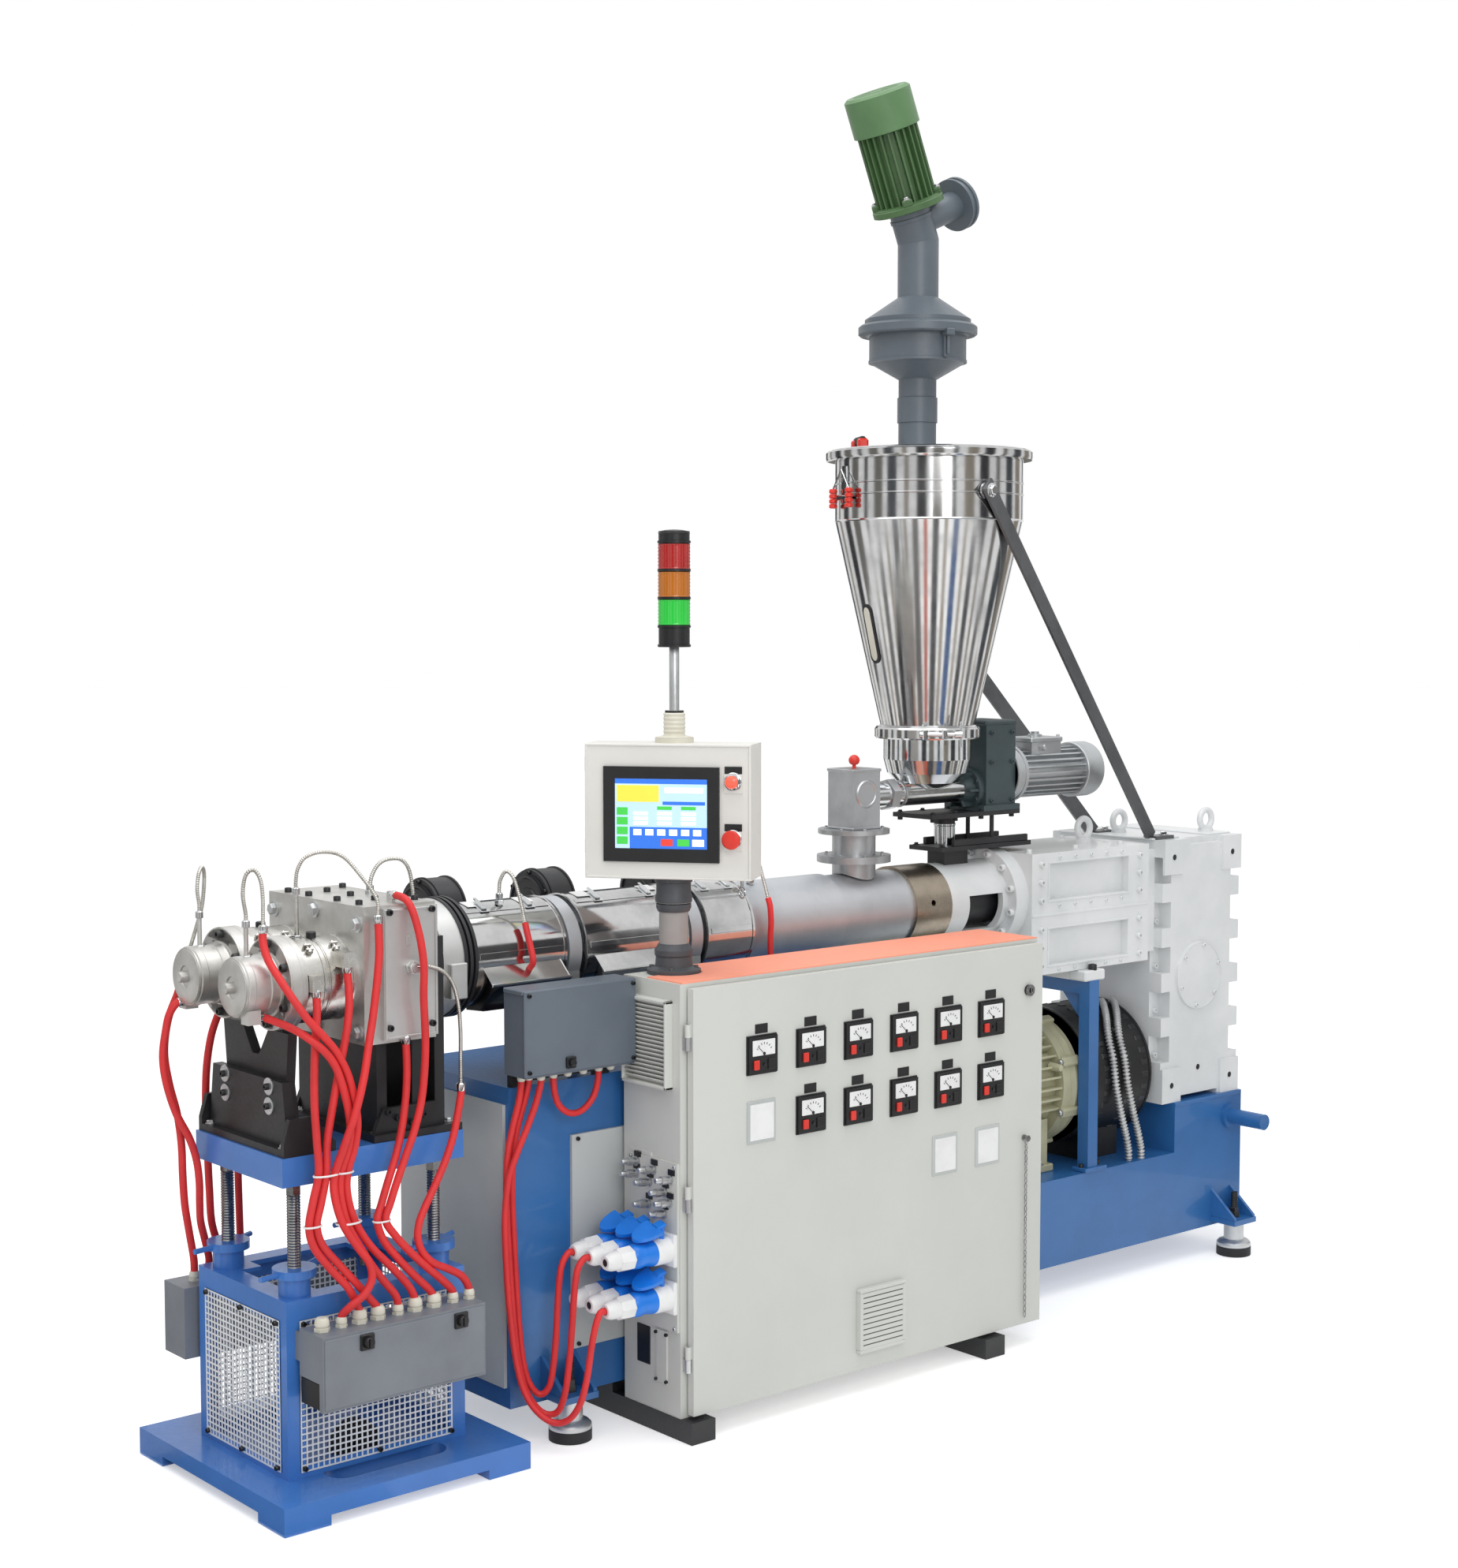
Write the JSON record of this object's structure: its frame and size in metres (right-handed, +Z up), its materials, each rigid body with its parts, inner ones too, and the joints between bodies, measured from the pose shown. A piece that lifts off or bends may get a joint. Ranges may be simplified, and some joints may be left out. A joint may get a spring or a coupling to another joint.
{
  "type": "plastic extruder",
  "caption": "Twin-screw plastic extruder on a bed with a two-outlet die on a jack stand, hopper, feeder, loader, drive and a control cabinet with operator panel.",
  "frame": {"origin": "on the floor under the middle of the die stand base", "axes": "+X along the barrel from die to gearbox, -Y toward the operator, +Z up"},
  "size_m": [3.336, 0.8506, 3.2554],
  "materials": {
    "band_steel": "pressed stainless band",
    "barrel_steel": "satin nitrided steel",
    "black_paint": "satin black enamel",
    "blue_paint": "gloss blue machine enamel",
    "cabinet_grey": "light grey powder coat",
    "case_ivory": "off white powder coat",
    "cast_grey": "satin metal",
    "die_steel": "satin ground tool steel",
    "feeder_slate": "dark slate enamel",
    "foot_rubber": "black levelling pads",
    "grey_paint": "satin grey enamel",
    "lamp_stack": "signal tower",
    "lead_red": "red silicone sleeving",
    "lead_steel": "armoured sensor lead",
    "loader_grey": "blue grey enamel",
    "mat_salmon": "salmon rubber mat",
    "mesh_white": "pale coated square mesh",
    "meter_black": "black meter cases",
    "mirror_steel": "polished stainless sheet",
    "motor_alu": "bare cast aluminium",
    "motor_green": "green enamel on fins",
    "motor_khaki": "khaki enamel on cast fins",
    "panel_grey": "pale grey sheet doors",
    "plug_blue": "blue moulded plugs",
    "post_grey": "dark grey post fittings",
    "screw_steel": "threaded bright steel",
    "slate_paint": "satin slate enamel",
    "stay_steel": "mill finish flat bar",
    "white_paint": "gloss white enamel on castings",
    "zinc_plate": "zinc plated sheet"
  },
  "bodies": {
    "frame": {"die_stand_base": "blue_paint", "die_stand_frame": "blue_paint", "die_stand_mesh": "mesh_white", "stand_boxes": "grey_paint", "stand_nuts": "blue_paint", "stand_screws": "screw_steel", "die_table": "blue_paint", "die_bracket_front": "black_paint", "die_bracket_rear": "black_paint", "die_block": "die_steel", "die_side_plate": "die_steel", "die_heads": "die_steel", "die_bands": "band_steel", "adaptor_disc": "cast_grey", "clamp_rings": "black_paint", "barrel": "barrel_steel", "barrel_covers": "mirror_steel", "terminal_covers": "mirror_steel", "blowers": "black_paint", "barrel_saddles": "blue_paint", "terminal_box": "slate_paint", "box_bracket": "black_paint", "throat_ring": "die_steel", "lantern": "white_paint", "lantern_sleeve": "black_paint", "transfer_case": "white_paint", "gearbox": "white_paint", "main_motor": "motor_khaki", "coupling_guard": "black_paint", "portal": "blue_paint", "bed": "blue_paint", "bed_panels": "panel_grey", "levelling_feet": "foot_rubber", "feed_throat": "mirror_steel", "feeder_trough": "mirror_steel", "feeder_gearbox": "feeder_slate", "feeder_motor": "motor_alu", "feeder_plates": "black_paint", "hopper": "mirror_steel", "hopper_stays": "stay_steel", "loader_body": "loader_grey", "loader_elbow": "loader_grey", "loader_motor": "motor_green", "cabinet_shell": "cabinet_grey", "cabinet_base": "black_paint", "cabinet_mat": "mat_salmon", "mounting_plate": "zinc_plate", "socket_plate": "panel_grey", "plugs": "plug_blue", "door_hinges": "screw_steel", "hmi_post": "post_grey", "gearbox_eyebolts": "white_paint", "die_leads": "lead_red", "sensor_leads": "lead_steel", "plug_leads": "lead_red"},
    "door": {"cabinet_door": "cabinet_grey", "door_meters": "meter_black"},
    "panel": {"hmi_case": "case_ivory", "hmi_front": "meter_black", "tower_light": "lamp_stack"}
  },
  "joints": [
    {"name": "door_hinge", "type": "hinge", "parent": "frame", "child": "door", "pos_m": [0.68, -0.417, 0.549], "axis": [0, 0, -1], "range_deg": [0, 110]},
    {"name": "panel_swivel", "type": "hinge", "parent": "frame", "child": "panel", "pos_m": [0.771, -0.255, 1.25], "axis": [0, 0, 1], "range_deg": [-60, 60]}
  ]
}
